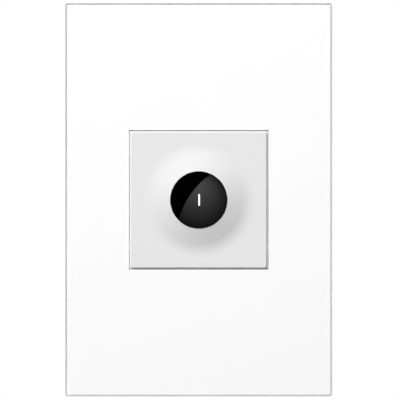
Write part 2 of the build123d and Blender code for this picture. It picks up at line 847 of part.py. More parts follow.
# Supply inductor: square cheeks of ferrite with the winding between them
with BuildPart() as supply_inductor:
    with BuildSketch(facing(power_board_front)):
        with Locations((coil_x, front_row_z)):
            small_round(coil_core_radius)
    extrude(amount=coil_length)
    for cheek_back in (power_board_front, power_board_front + coil_length - coil_cheek):
        with BuildSketch(facing(cheek_back)):
            with Locations((coil_x, front_row_z)):
                Rectangle(coil_size, coil_size)
        extrude(amount=coil_cheek)
    with BuildSketch(facing(power_board_back - lead_tail)):
        with Locations((coil_x, front_row_z)):
            with GridLocations(component_pitch, 0, 2, 1):
                Rectangle(component_lead, component_lead)
    extrude(amount=power_board_thickness + lead_tail)
supply_inductor.part.label = "supply_inductor"
export_step(supply_inductor.part, "parts/supply_inductor.step")

# Varistor: disc that stands on its two leads
with BuildPart() as varistor:
    with BuildSketch(Plane.XY.offset(varistor_z - varistor_thickness / 2)):
        with Locations((varistor_x, -(power_board_front + varistor_stand + varistor_radius))):
            small_round(varistor_radius)
    extrude(amount=varistor_thickness)
    with BuildSketch(facing(power_board_back - lead_tail)):
        with Locations((varistor_x, varistor_z)):
            with GridLocations(component_pitch, 0, 2, 1):
                Rectangle(component_lead, component_lead)
    extrude(amount=power_board_thickness + lead_tail + varistor_stand + varistor_radius)
varistor.part.label = "varistor"
export_step(varistor.part, "parts/varistor.step")

# Header between the two boards: one insulator with its row of long pins
with BuildPart() as board_header:
    with BuildSketch(facing(power_board_front)):
        with Locations((header_x, header_z)):
            Rectangle(header_width, header_row + header_width)
    extrude(amount=header_body)
    with BuildSketch(facing(power_board_back - lead_tail)):
        with Locations((header_x, header_z)):
            with GridLocations(0, lead_pitch, 1, header_pins):
                Rectangle(header_pin, header_pin)
    extrude(amount=sensor_board_front - power_board_back + lead_tail)
board_header.part.label = "board_header"
export_step(board_header.part, "parts/board_header.step")

# Terminal block: four pockets open to the board, ports at the back and screw wells below
with BuildPart() as terminal_block:
    with BuildSketch(facing(rear_inner_back)):
        with Locations((0, block_middle)):
            Rectangle(block_width, block_height)
    extrude(amount=power_board_back - rear_inner_back)
    with BuildSketch(facing(housing_back)):
        with Locations((0, block_middle)):
            Rectangle(block_width - 2 * nose_step, block_height - 2 * nose_step)
    extrude(amount=rear_wall)
    with BuildSketch(facing(pocket_back)):
        with Locations((0, clamp_middle)):
            with GridLocations(pole_pitch, 0, len(poles), 1):
                Rectangle(pocket_width, pocket_height)
    extrude(amount=power_board_back - pocket_back, mode=Mode.SUBTRACT)
    with BuildSketch(facing(housing_back)):
        with Locations((0, port_z)):
            with GridLocations(pole_pitch, 0, len(poles), 1):
                Circle(port_radius)
    extrude(amount=port_length, mode=Mode.SUBTRACT)
    with BuildSketch(Plane.XY.offset(block_bottom)):
        with Locations((0, -screw_axis_front)):
            with GridLocations(pole_pitch, 0, len(poles), 1):
                small_round(well_radius)
    extrude(amount=block_floor, mode=Mode.SUBTRACT)
terminal_block.part.label = "terminal_block"
export_step(terminal_block.part, "parts/terminal_block.step")

# Clamps: brass frames that the screws close on the wire, each with a tail through the power board
for pole, x in zip(poles, pole_x):
    with BuildPart() as clamp:
        with BuildSketch(facing(pocket_back)):
            with Locations((x, clamp_middle)):
                Rectangle(clamp_width, clamp_height)
            with Locations((x, (clamp_bottom + clamp_thread_wall + clamp_roof) / 2)):
                Rectangle(
                    clamp_width - 2 * clamp_wall,
                    clamp_roof - clamp_bottom - clamp_thread_wall,
                    mode=Mode.SUBTRACT,
                )
        extrude(amount=clamp_length)
        with BuildSketch(facing(clamp_front)):
            with Locations((x, tail_z)):
                Rectangle(clamp_tail_width, clamp_wall)
        extrude(amount=tail_front - clamp_front)
        with BuildSketch(Plane.XY.offset(clamp_bottom)):
            with Locations((x, -screw_axis_front)):
                small_round(terminal_screw_radius + thread_gap)
        extrude(amount=clamp_thread_wall, mode=Mode.SUBTRACT)
    clamp.part.label = f"{pole}_clamp"
    export_step(clamp.part, f"parts/{pole}_clamp.step")

# Terminal screws, driven from below
with BuildPart() as terminal_screws:
    with BuildSketch(Plane.XY.offset(clamp_bottom - clamp_gap)):
        with Locations((0, -screw_axis_front)):
            with GridLocations(pole_pitch, 0, len(poles), 1):
                small_round(terminal_screw_radius)
    extrude(amount=terminal_screw_length)
    with BuildSketch(Plane.XY.offset(clamp_bottom - clamp_gap - terminal_screw_head)):
        with Locations((0, -screw_axis_front)):
            with GridLocations(pole_pitch, 0, len(poles), 1):
                small_round(terminal_screw_head_radius)
    extrude(amount=terminal_screw_head)
    with BuildSketch(Plane.XY.offset(clamp_bottom - clamp_gap - terminal_screw_head)):
        with Locations((0, -screw_axis_front)):
            with GridLocations(pole_pitch, 0, len(poles), 1):
                Rectangle(2 * terminal_screw_head_radius, driver_slot_width)
    extrude(amount=driver_slot_depth, mode=Mode.SUBTRACT)
terminal_screws.part.label = "terminal_screws"
export_step(terminal_screws.part, "parts/terminal_screws.step")
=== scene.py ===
import math

import bmesh
import bpy
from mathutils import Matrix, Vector


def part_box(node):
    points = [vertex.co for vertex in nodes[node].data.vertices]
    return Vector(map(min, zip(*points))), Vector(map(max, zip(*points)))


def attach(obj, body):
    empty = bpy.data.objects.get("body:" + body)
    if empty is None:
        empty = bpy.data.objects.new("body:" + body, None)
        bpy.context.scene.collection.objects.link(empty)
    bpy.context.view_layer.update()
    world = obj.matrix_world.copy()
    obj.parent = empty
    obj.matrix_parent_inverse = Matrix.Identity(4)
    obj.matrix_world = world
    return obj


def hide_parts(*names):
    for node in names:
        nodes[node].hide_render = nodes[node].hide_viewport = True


# Touchless wave switch in its screwless wall plate, put together from the boards in the wall box outwards.
# Metres, +Z up. The wall surface is Y = 0 and the room lies towards -Y. The sizes below are in millimetres,
# and a distance to the room is negative behind the wall surface.
mm = 0.001
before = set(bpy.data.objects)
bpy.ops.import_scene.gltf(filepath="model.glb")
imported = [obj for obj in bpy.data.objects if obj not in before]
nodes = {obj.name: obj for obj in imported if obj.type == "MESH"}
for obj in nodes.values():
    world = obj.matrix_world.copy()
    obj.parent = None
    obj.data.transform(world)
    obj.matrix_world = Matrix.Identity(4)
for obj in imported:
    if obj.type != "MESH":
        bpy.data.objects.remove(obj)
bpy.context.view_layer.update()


# Sensor board and power board: glass-fibre laminate under green solder mask. The weave of the glass shows
# as a faint grid in the mask. Both boards stay as the frame has them.
def solder_mask(name, colour, weave):
    """Semi-gloss mask over woven glass: one colour with the weave as a fine bump."""
    material = bpy.data.materials.new(name)
    material.use_nodes = True
    tree = material.node_tree
    shader = tree.nodes["Principled BSDF"]
    shader.inputs["Base Color"].default_value = (*colour, 1)
    shader.inputs["Roughness"].default_value = 0.32
    place = tree.nodes.new("ShaderNodeTexCoord")
    threads = tree.nodes.new("ShaderNodeTexChecker")
    threads.inputs["Scale"].default_value = 1 / weave
    bump = tree.nodes.new("ShaderNodeBump")
    bump.inputs["Strength"].default_value = 0.25
    bump.inputs["Distance"].default_value = 0.02 * mm
    tree.links.new(place.outputs["Object"], threads.inputs["Vector"])
    tree.links.new(threads.outputs["Fac"], bump.inputs["Height"])
    tree.links.new(bump.outputs["Normal"], shader.inputs["Normal"])
    return material


mask = solder_mask("green solder mask", (0.012, 0.13, 0.055), weave=0.45 * mm)
nodes["sensor_board"].data.materials[0] = mask
nodes["power_board"].data.materials[0] = mask


# Relay, film capacitor, control chip and header: moulded cases that stand on tinned leads through the
# boards. Each case is one moulding with rounded edges.
def moulded(name, colour, roughness, grain=0.25 * mm, depth=0.006 * mm):
    """Moulded plastic: one colour, with the fine grain that the mould leaves."""
    material = bpy.data.materials.new(name)
    material.use_nodes = True
    tree = material.node_tree
    shader = tree.nodes["Principled BSDF"]
    shader.inputs["Base Color"].default_value = (*colour, 1)
    shader.inputs["Roughness"].default_value = roughness
    place = tree.nodes.new("ShaderNodeTexCoord")
    sparks = tree.nodes.new("ShaderNodeTexNoise")
    sparks.inputs["Scale"].default_value = 1 / grain
    sparks.inputs["Detail"].default_value = 2
    bump = tree.nodes.new("ShaderNodeBump")
    bump.inputs["Strength"].default_value = 0.3
    bump.inputs["Distance"].default_value = depth
    tree.links.new(place.outputs["Object"], sparks.inputs["Vector"])
    tree.links.new(sparks.outputs["Fac"], bump.inputs["Height"])
    tree.links.new(bump.outputs["Normal"], shader.inputs["Normal"])
    return material


def uneven_gloss(material, least, most, cloud=3 * mm):
    """Lets the roughness of a finish drift between two values from place to place."""
    tree = material.node_tree
    place = tree.nodes.new("ShaderNodeTexCoord")
    drift = tree.nodes.new("ShaderNodeTexNoise")
    drift.inputs["Scale"].default_value = 1 / cloud
    spread = tree.nodes.new("ShaderNodeMapRange")
    spread.inputs["To Min"].default_value = least
    spread.inputs["To Max"].default_value = most
    tree.links.new(place.outputs["Object"], drift.inputs["Vector"])
    tree.links.new(drift.outputs["Fac"], spread.inputs["Value"])
    tree.links.new(spread.outputs["Result"], tree.nodes["Principled BSDF"].inputs["Roughness"])


def plated(name, colour, roughness, drift=0.06):
    """Plated or bare metal, its gloss a little uneven."""
    material = bpy.data.materials.new(name)
    material.use_nodes = True
    shader = material.node_tree.nodes["Principled BSDF"]
    shader.inputs["Base Color"].default_value = (*colour, 1)
    shader.inputs["Metallic"].default_value = 1.0
    uneven_gloss(material, roughness - drift, roughness + drift)
    return material


def block(name, at, size, back, front, edge, steps=3):
    """Block of this width and height round a point (x, z), between two distances to the room.

    All its edges are rounded."""
    bpy.ops.object.select_all(action="DESELECT")
    bpy.ops.mesh.primitive_cube_add(size=1, location=(at[0] * mm, -(back + front) / 2 * mm, at[1] * mm),
                                    scale=(size[0] * mm, (front - back) * mm, size[1] * mm))
    piece = bpy.context.object
    piece.name = piece.data.name = name
    bpy.ops.object.transform_apply(location=True, scale=True)
    bpy.ops.object.mode_set(mode="EDIT")
    bpy.ops.mesh.select_all(action="SELECT")
    bpy.ops.mesh.bevel(offset=edge * mm, segments=steps, affect="EDGES")
    bpy.ops.object.mode_set(mode="OBJECT")
    return piece


def copies(piece, steps):
    """The piece, and a copy with its own mesh at each of these steps along X, Y and Z."""
    made = [piece]
    for number, step in enumerate(steps, 2):
        bpy.ops.object.select_all(action="DESELECT")
        piece.select_set(True)
        bpy.context.view_layer.objects.active = piece
        bpy.ops.object.duplicate()
        twin = bpy.context.object
        twin.name = twin.data.name = f"{piece.name}_{number}"
        twin.location = [c * mm for c in step]
        bpy.ops.object.transform_apply(location=True)
        made.append(twin)
    return made


def joined(first, *others):
    """Joins the pieces of one component. Each keeps its own finish."""
    bpy.ops.object.select_all(action="DESELECT")
    for piece in (first, *others):
        piece.select_set(True)
    bpy.context.view_layer.objects.active = first
    bpy.ops.object.join()
    return first


def coat(material, *pieces):
    """Gives whole pieces one finish."""
    for piece in pieces:
        piece.data.materials.clear()
        piece.data.materials.append(material)


def leads(name, at, steps, back, front, size=(0.8, 0.8), edge=0.1):
    """Tinned leads of a component: one at this x and z, and one more at each of these steps from it."""
    pins = copies(block(name, at, size, back, front, edge, steps=2), steps)
    coat(tin, *pins)
    return pins


def fit(piece, node, angle=35):
    """Smooths a finished piece, and puts it in the place of its CAD node."""
    bpy.ops.object.select_all(action="DESELECT")
    piece.select_set(True)
    bpy.context.view_layer.objects.active = piece
    bpy.ops.object.shade_smooth_by_angle(angle=math.radians(angle))
    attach(piece, "root")
    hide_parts(node)


tin = plated("tinned copper", (0.75, 0.74, 0.7), roughness=0.32)
lead_tail = 0.8
lead_root = 0.5
lead_pitch = 5.0
power_front = -16.0
power_back = -17.6

relay_x, relay_z = -7.5, 4.75
relay_size = (19.0, 15.5)
relay_depth = 15.0
relay_pins_x, relay_pins_z = 14.0, 10.5
relay_case = block("relay_case", (relay_x, relay_z), relay_size,
                   power_back - relay_depth, power_back, edge=0.6)
coat(moulded("relay case blue", (0.02, 0.09, 0.36), roughness=0.4), relay_case)
pins = leads("relay_pin", (relay_x - relay_pins_x / 2, relay_z - relay_pins_z / 2),
             [(0, 0, relay_pins_z), (relay_pins_x, 0, 0), (relay_pins_x, 0, relay_pins_z)],
             power_back - lead_root, power_front + lead_tail)
fit(joined(relay_case, *pins), "relay")

film_x, film_z = 11.0, 6.0
film_size = (6.0, 13.0)
film_depth = 11.0
film_case = block("film_capacitor_case", (film_x, film_z), film_size,
                  power_back - film_depth, power_back, edge=0.5)
coat(moulded("film capacitor yellow", (0.62, 0.4, 0.02), roughness=0.35), film_case)
pins = leads("film_lead", (film_x - lead_pitch / 2, film_z), [(lead_pitch, 0, 0)],
             power_back - lead_root, power_front + lead_tail)
fit(joined(film_case, *pins), "film_capacitor")

chip_black = moulded("epoxy black", (0.018, 0.018, 0.018), roughness=0.5)
board_front = 4.6
board_back = 3.4
chip_x, chip_z = -9.0, 8.0
chip_size = (4.0, 10.0)
chip_depth = 1.4
chip_rows = 8
chip_pitch = 1.27
chip_pin_size = (6.0, 0.44)
chip_pin_depth = 0.4
chip = block("control_chip_body", (chip_x, chip_z), chip_size,
             board_back - chip_depth, board_back, edge=0.12)
coat(chip_black, chip)
first_row = chip_z - (chip_rows - 1) / 2 * chip_pitch
pins = leads("chip_pin", (chip_x, first_row), [(0, 0, row * chip_pitch) for row in range(1, chip_rows)],
             board_back - chip_pin_depth, board_back, chip_pin_size, edge=0.06)
fit(joined(chip, *pins), "control_chip")

header_x, header_z = 16.8, -5.0
header_size = (2.5, 12.66)
header_depth = 8.5
header_rows = 5
header_pitch = 2.54
header_pin_size = (0.64, 0.64)
header = block("board_header_body", (header_x, header_z), header_size,
               power_front, power_front + header_depth, edge=0.3)
coat(chip_black, header)
first_row = header_z - (header_rows - 1) / 2 * header_pitch
pins = leads("header_pin", (header_x, first_row),
             [(0, 0, row * header_pitch) for row in range(1, header_rows)],
             power_back - lead_tail, board_front, header_pin_size)
fit(joined(header, *pins), "board_header")


# Supply capacitor, inductor and varistor: round components in front of the power board. The capacitor is an
# aluminium can in a black sleeve, the inductor is wound with enamelled wire between two ferrite cheeks.
def section_line(name, points):
    """Starts a piece as the line of its half section: radius and distance to the room of each point."""
    bpy.ops.object.select_all(action="DESELECT")
    radius, front = points[0]
    bpy.ops.mesh.primitive_plane_add(size=mm, location=(radius * mm, -front * mm, 0))
    piece = bpy.context.object
    piece.name = piece.data.name = name
    bpy.ops.object.transform_apply(location=True)
    bpy.ops.object.mode_set(mode="EDIT")
    bpy.ops.mesh.select_mode(type="VERT")
    bpy.ops.mesh.select_all(action="SELECT")
    bpy.ops.mesh.merge(type="CENTER")
    for next_radius, next_front in points[1:]:
        step = ((next_radius - radius) * mm, (front - next_front) * mm, 0)
        bpy.ops.mesh.extrude_vertices_move(TRANSFORM_OT_translate={"value": step})
        radius, front = next_radius, next_front
    return piece


def arc(middle, radius, start, end, count):
    """Points of an arc in a section, at angles in degrees from the radius direction."""
    angles = [math.radians(start + (end - start) * step / count) for step in range(count + 1)]
    return [(middle[0] + radius * math.cos(a), middle[1] + radius * math.sin(a)) for a in angles]


def spun(name, points, steps=32, at=(0, 0), tip=0):
    """Round piece from its half section, its axis square to the wall through this x and z.

    A piece with tip is first turned by it about X, so that its front faces down (90) or up (-90), and goes
    to an x, y and z."""
    piece = section_line(name, points)
    bpy.ops.mesh.select_all(action="SELECT")
    bpy.ops.mesh.spin(steps=steps, angle=2 * math.pi, center=(0, 0, 0), axis=(0, 1, 0))
    bpy.ops.mesh.select_all(action="SELECT")
    bpy.ops.mesh.remove_doubles(threshold=0.002 * mm)
    bpy.ops.mesh.normals_make_consistent(inside=False)
    bpy.ops.object.mode_set(mode="OBJECT")
    piece.rotation_euler = (math.radians(tip), 0, 0)
    piece.location = [c * mm for c in ((at[0], 0, at[1]) if len(at) == 2 else at)]
    bpy.ops.object.transform_apply(location=True, rotation=True)
    return piece


def press(piece):
    """Opens a piece in edit mode with nothing selected."""
    bpy.ops.object.select_all(action="DESELECT")
    piece.select_set(True)
    bpy.context.view_layer.objects.active = piece
    bpy.ops.object.mode_set(mode="EDIT")
    bpy.ops.mesh.select_mode(type="VERT")
    bpy.ops.mesh.select_all(action="DESELECT")


def pick(kind, rule):
    """In edit mode, selects each face, edge or corner for which the rule holds."""
    bpy.ops.mesh.select_mode(type=kind)
    bpy.ops.mesh.select_all(action="DESELECT")
    mesh = bpy.context.object.data
    shape = bmesh.from_edit_mesh(mesh)
    for item in {"FACE": shape.faces, "EDGE": shape.edges, "VERT": shape.verts}[kind]:
        if rule(item):
            item.select_set(True)
    bmesh.update_edit_mesh(mesh)


def facet_coat(piece, material, rule):
    """Gives the faces of a piece for which the rule holds another finish."""
    piece.data.materials.append(material)
    press(piece)
    pick("FACE", rule)
    piece.active_material_index = len(piece.data.materials) - 1
    bpy.ops.object.material_slot_assign()
    bpy.ops.object.mode_set(mode="OBJECT")


can_x, row_z = 7.5, 13.5
can_radius = 5.0
can_rim = 4.75
can_bare = 0.25
can_points = [(0, -0.2), (4.1, -0.2), (4.3, 0), (can_rim, 0)] + arc((4.5, -0.5), 0.5, 60, 0, 4)
can_points += [(can_radius, -12.9), (4.8, -13.2), (4.75, -13.6), (4.8, -14), (can_radius, -14.3)]
can_points += [(can_radius, -15.7), (4.7, power_front), (0, power_front)]
can = spun("supply_capacitor_can", can_points, steps=48, at=(can_x, row_z))
coat(moulded("capacitor sleeve black", (0.014, 0.014, 0.018), roughness=0.3), can)
facet_coat(can, plated("brushed aluminium", (0.8, 0.8, 0.81), roughness=0.35),
           lambda f: f.calc_center_median().y < can_bare * mm and f.normal.y < -0.9)
pins = leads("capacitor_lead", (can_x - lead_pitch / 2, row_z), [(lead_pitch, 0, 0)],
             power_back - lead_tail, power_front + 0.3)
fit(joined(can, *pins), "supply_capacitor")

coil_x = -8.0
coil_radius = 4.7
coil_front, coil_back = -10.0, -14.6
core_radius = 4.4
wire = 0.55
wire_turns = 8
cheek_size = (12.0, 12.0)
cheek_depth = 1.8
cheek_step = 5.7
winding_points = [(0, coil_front), (core_radius, coil_front)]
for turn in range(wire_turns):
    winding_points += arc((coil_radius, coil_front - 0.25 - turn * wire), wire / 2, 80, -80, 4)
winding_points += [(core_radius, coil_back), (0, coil_back)]
winding = spun("supply_inductor_winding", winding_points, steps=40, at=(coil_x, row_z))
coat(plated("enamelled copper", (0.62, 0.22, 0.08), roughness=0.3), winding)
cheek = block("inductor_cheek", (coil_x, row_z), cheek_size,
              power_front, power_front + cheek_depth, edge=0.4)
cheeks = copies(cheek, [(0, -cheek_step, 0)])
coat(moulded("ferrite grey", (0.035, 0.035, 0.04), roughness=0.55), *cheeks)
pins = leads("inductor_lead", (coil_x - lead_pitch / 2, row_z), [(lead_pitch, 0, 0)],
             power_back - lead_tail, power_front + 0.3)
fit(joined(*cheeks, winding, *pins), "supply_inductor")

varistor_x, varistor_y, varistor_z = -13.0, 10.0, -4.5
disc_flat = 3.0
disc_half = 2.0
disc_edge = 1.5
disc_points = [(0, disc_half), (disc_flat, disc_half)]
disc_points += arc((disc_flat, disc_half - disc_edge), disc_edge, 90, 0, 6)
disc_points += arc((disc_flat, disc_edge - disc_half), disc_edge, 0, -90, 6) + [(0, -disc_half)]
disc = spun("varistor_disc", disc_points, steps=48, at=(varistor_x, varistor_y, varistor_z), tip=90)
coat(moulded("varistor coating blue", (0.03, 0.14, 0.33), roughness=0.45), disc)
pins = leads("varistor_lead", (varistor_x - lead_pitch / 2, varistor_z), [(lead_pitch, 0, 0)],
             power_back - lead_tail, power_front + 3.5)
fit(joined(disc, *pins), "varistor")


# Infrared emitters, receiver and status light on the sensor board: cast epoxy, water-clear on the emitters
# and dark on the receiver. A black rubber disc round them keeps their light apart.
def cast_epoxy(name, colour, clear):
    """Cast epoxy: glossy, and clear by the given share."""
    material = bpy.data.materials.new(name)
    material.use_nodes = True
    shader = material.node_tree.nodes["Principled BSDF"]
    shader.inputs["Base Color"].default_value = (*colour, 1)
    shader.inputs["Transmission Weight"].default_value = clear
    shader.inputs["IOR"].default_value = 1.52
    uneven_gloss(material, 0.08, 0.16, cloud=1 * mm)
    return material


def merged(node):
    """Copy of a CAD node with its loose triangles merged into whole faces."""
    piece = bpy.data.objects.new(f"{node}_moulding", nodes[node].data.copy())
    piece.data.name = piece.name
    bpy.context.collection.objects.link(piece)
    press(piece)
    bpy.ops.mesh.select_all(action="SELECT")
    bpy.ops.mesh.remove_doubles(threshold=0.001 * mm)
    bpy.ops.mesh.dissolve_limited(angle_limit=math.radians(1))
    bpy.ops.object.mode_set(mode="OBJECT")
    return piece


def rounded(piece, edge, steps=2):
    """Rounds the sharp edges of a merged piece and keeps its flats flat in the light."""
    bpy.ops.object.select_all(action="DESELECT")
    piece.select_set(True)
    bpy.context.view_layer.objects.active = piece
    rounding = piece.modifiers.new("rounding", "BEVEL")
    rounding.width = edge * mm
    rounding.segments = steps
    rounding.limit_method = "ANGLE"
    rounding.angle_limit = math.radians(30)
    bpy.ops.object.modifier_apply(modifier="rounding")
    bpy.ops.object.shade_smooth_by_angle(angle=math.radians(35))
    weighting = piece.modifiers.new("weighting", "WEIGHTED_NORMAL")
    weighting.keep_sharp = True
    bpy.ops.object.modifier_apply(modifier="weighting")


def dress(node, piece, material):
    """Puts a merged and rounded moulding in the place of its CAD node."""
    coat(material, piece)
    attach(piece, "root")
    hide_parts(node)


diode_ring = 5.4
diode_radius = 1.5
diode_dome = 7.69
diode_rim = 1.64
rim_front = 5.4
diode_pitch = 2.54
diode_lead_size = (0.44, 0.44)
diode_points = arc((0, diode_dome), diode_radius, 90, 0, 10)
diode_points += [(diode_radius, rim_front + 0.1), (diode_rim, rim_front), (diode_rim, board_front),
                 (0, board_front)]
diode = spun("infrared_diode", diode_points, at=(-diode_ring, 0))
coat(cast_epoxy("clear epoxy", (0.9, 0.93, 0.97), clear=0.7), diode)
pins = leads("diode_lead", (-diode_ring - diode_pitch / 2, 0), [(diode_pitch, 0, 0)],
             board_back - lead_tail, board_front + 0.2, diode_lead_size, edge=0.06)
left, right, receiver = copies(joined(diode, *pins), [(2 * diode_ring, 0, 0), (diode_ring, 0, -diode_ring)])
receiver.data.materials[0] = cast_epoxy("dark epoxy", (0.02, 0.015, 0.02), clear=0.2)
fit(left, "ir_emitter_left")
fit(right, "ir_emitter_right")
fit(receiver, "ir_receiver")

light_size = (2.8, 2.8)
light_front = board_front + 1.9
light_body = block("status_light_body", (0, 0), light_size, board_front, light_front, edge=0.12)
coat(cast_epoxy("white light body", (0.85, 0.85, 0.8), clear=0.0), light_body)
eye = spun("status_light_eye", [(0, 6.52), (0.6, 6.51), (1.0, 6.46), (1.05, 6.3), (0, 6.3)], steps=24)
coat(cast_epoxy("phosphor yellow", (0.85, 0.7, 0.15), clear=0.0), eye)
fit(joined(light_body, eye), "status_led")

holder = merged("lens_holder")
rounded(holder, edge=0.12)
rubber = moulded("black rubber", (0.012, 0.012, 0.012), roughness=0.75, grain=0.6 * mm, depth=0.01 * mm)
dress("lens_holder", holder, rubber)


# Terminal block with its four clamps: a black moulding with a wire port for each pole. The brass clamps are
# closed by slotted screws, driven from below through round wells.
def hollow(piece, cutter, way="DIFFERENCE"):
    """Cuts one piece out of another, or keeps what both share, and removes the cutter."""
    bpy.ops.object.select_all(action="DESELECT")
    piece.select_set(True)
    bpy.context.view_layer.objects.active = piece
    cut = piece.modifiers.new("cut", "BOOLEAN")
    cut.operation = way
    cut.object = cutter
    bpy.ops.object.modifier_apply(modifier="cut")
    bpy.data.objects.remove(cutter)


def drilled(piece, radius, low, high, spots, upright=False):
    """Bores round holes at these spots, between two distances to the room or, upright, two heights.

    The radius is that of the CAD hole's flats, and the bore just clears its eight corners."""
    bore = radius / math.cos(math.pi / 8) + 0.005
    cutters = []
    for x, other in spots:
        middle = (x, -other, (low + high) / 2) if upright else (x, -(low + high) / 2, other)
        bpy.ops.object.select_all(action="DESELECT")
        bpy.ops.mesh.primitive_cylinder_add(vertices=48, radius=bore * mm, depth=(high - low) * mm,
                                            location=[c * mm for c in middle],
                                            rotation=(0 if upright else math.pi / 2, 0, 0))
        cutters.append(bpy.context.object)
    hollow(piece, joined(*cutters))


pole_places = (-10.8, -3.6, 3.6, 10.8)
screw_line = -30.0
well_radius = 2.75
well_low, well_high = -21.0, -17.15
terminals = merged("terminal_block")
drilled(terminals, well_radius, well_low, well_high, [(x, screw_line) for x in pole_places], upright=True)
rounded(terminals, edge=0.15)
terminal_black = moulded("terminal black", (0.02, 0.02, 0.022), roughness=0.45)
dress("terminal_block", terminals, terminal_black)

brass = plated("brass", (0.72, 0.5, 0.2), roughness=0.28)
for pole in ("line", "load", "traveller", "neutral"):
    clamp = merged(f"{pole}_clamp")
    rounded(clamp, edge=0.1)
    dress(f"{pole}_clamp", clamp, brass)


# Terminal screws: turned brass, one for each pole, set from below. The flat slotted head lies in its well,
# and the thread runs in the clamp and closes it on the wire.
def thread(root, crest, pitch, start, turns, steps=20):
    """Helical ridge of a screw, from its start towards the wall."""
    half = pitch * 0.45
    reach = (crest - root + 0.1) / 1.5
    bpy.ops.object.select_all(action="DESELECT")
    bpy.ops.mesh.primitive_circle_add(vertices=3, radius=mm, fill_type="NGON",
                                      rotation=(0, 0, -math.pi / 2))
    ridge = bpy.context.object
    bpy.ops.object.transform_apply(rotation=True)
    ridge.scale = (reach, half / math.sin(math.pi / 3), 1)
    ridge.location = ((crest - reach) * mm, (-start + half) * mm, 0)
    bpy.ops.object.transform_apply(location=True, scale=True)
    winding = ridge.modifiers.new("winding", "SCREW")
    winding.axis = "Y"
    winding.screw_offset = pitch * mm
    winding.iterations = turns
    winding.steps = winding.render_steps = steps
    bpy.ops.object.modifier_apply(modifier="winding")
    press(ridge)
    bpy.ops.mesh.select_all(action="SELECT")
    bpy.ops.mesh.remove_doubles(threshold=0.002 * mm)
    bpy.ops.mesh.fill_holes(sides=3)
    bpy.ops.mesh.select_all(action="SELECT")
    bpy.ops.mesh.normals_make_consistent(inside=False)
    bpy.ops.object.mode_set(mode="OBJECT")
    return ridge


def slotted(piece, size, back, front):
    """Cuts a slot of this width and height through a screw's axis, between two distances to the room."""
    hollow(piece, block("slot", (0, 0), size, back, front, edge=0.02, steps=1))


terminal_root = 1.4
terminal_head = 2.5
terminal_under = -1.8
terminal_height = -18.95
head_points = [(0, 0), (2.3, 0), (terminal_head, -0.2), (terminal_head, terminal_under)]
head_points += [(terminal_root, terminal_under), (terminal_root, -4.8), (1.1, -5), (0, -5)]
head = spun("terminal_screw", head_points)
slotted(head, (6, 1), back=-1, front=0.5)
ridge = thread(terminal_root, crest=1.6, pitch=0.6, start=-1.9, turns=4)
screw = joined(head, ridge)
screw.rotation_euler = (math.radians(90), 0, 0)
screw.location = (pole_places[0] * mm, -screw_line * mm, terminal_height * mm)
bpy.ops.object.transform_apply(location=True, rotation=True)
coat(brass, screw)
for terminal_screw in copies(screw, [(x - pole_places[0], 0, 0) for x in pole_places[1:]]):
    fit(terminal_screw, "terminal_screws")

# Switch housing: two mouldings of flame-retardant nylon, white in front and dark grey behind, held together
# by four cross-recessed screws from the back.
column = 18
screw_places = [(x, z) for x in (-column, column) for z in (-column, column)]
recess_radius = 2.05
recess_back, recess_floor = -37.0, -14.0
front_case = merged("front_housing")
rounded(front_case, edge=0.12)
nylon_white = moulded("housing white", (0.78, 0.78, 0.76), roughness=0.45, grain=0.4 * mm)
dress("front_housing", front_case, nylon_white)
rear_case = merged("rear_housing")
drilled(rear_case, recess_radius, recess_back, recess_floor, screw_places)
rounded(rear_case, edge=0.2)
nylon_grey = moulded("housing grey", (0.33, 0.34, 0.35), roughness=0.5, grain=0.4 * mm, depth=0.012 * mm)
dress("rear_housing", rear_case, nylon_grey)

steel = plated("screw steel", (0.42, 0.43, 0.45), roughness=0.3)
shank_radius = 1.1
case_head = 1.9
case_points = [(0, -1.5), (shank_radius, -1.5), (shank_radius, recess_floor), (case_head, recess_floor)]
case_points += [(case_head, -14.8)] + arc((0.9, -14.6), 1.0, -12, -90, 6) + [(0, -15.6)]
case_screw = spun("housing_screw", case_points, steps=24)
cross_length, cross_width = 2.4, 0.44
slotted(case_screw, (cross_length, cross_width), back=-16, front=-14.7)
slotted(case_screw, (cross_width, cross_length), back=-16, front=-14.7)
case_screw.location = (-column * mm, 0, -column * mm)
bpy.ops.object.transform_apply(location=True)
coat(steel, case_screw)
for housing_screw in copies(case_screw, [(x + column, 0, z + column) for x, z in screw_places[1:]]):
    fit(housing_screw, "housing_screws")

# Mounting frame: zinc-plated sheet, stamped and bent. Two box screws hang in its slots on fibre retainers,
# and the green ground screw sits in a tapped hole.
strap = merged("mounting_frame")
rounded(strap, edge=0.12)
dress("mounting_frame", strap, plated("bright zinc", (0.68, 0.69, 0.71), roughness=0.36))
fibre = merged("screw_retainers")
rounded(fibre, edge=0.08)
fibre_grey = moulded("vulcanised fibre grey", (0.22, 0.2, 0.19), roughness=0.8, grain=0.15 * mm)
dress("screw_retainers", fibre, fibre_grey)

box_screw_z = 41.67
box_screw_root = 1.38
box_head = 3.4
box_head_back = 1.5
box_points = [(0, 3.5), (1.2, 3.43), (2.2, 3.2), (2.9, 2.85), (3.3, 2.4), (box_head, 2.1), (box_head, 1.62)]
box_points += [(3.3, box_head_back), (box_screw_root, box_head_back)]
box_points += [(box_screw_root, -17.1), (0.9, -17.55), (0, -17.55)]
head = spun("box_screw", box_points, steps=40)
slotted(head, (8, 1), back=2.5, front=4)
ridge = thread(box_screw_root, crest=1.75, pitch=0.8, start=-0.7, turns=20)
box_screw = joined(head, ridge)
box_screw.location = (0, 0, box_screw_z * mm)
bpy.ops.object.transform_apply(location=True)
coat(steel, box_screw)
for piece in copies(box_screw, [(0, 0, -2 * box_screw_z)]):
    fit(piece, "mounting_screws")

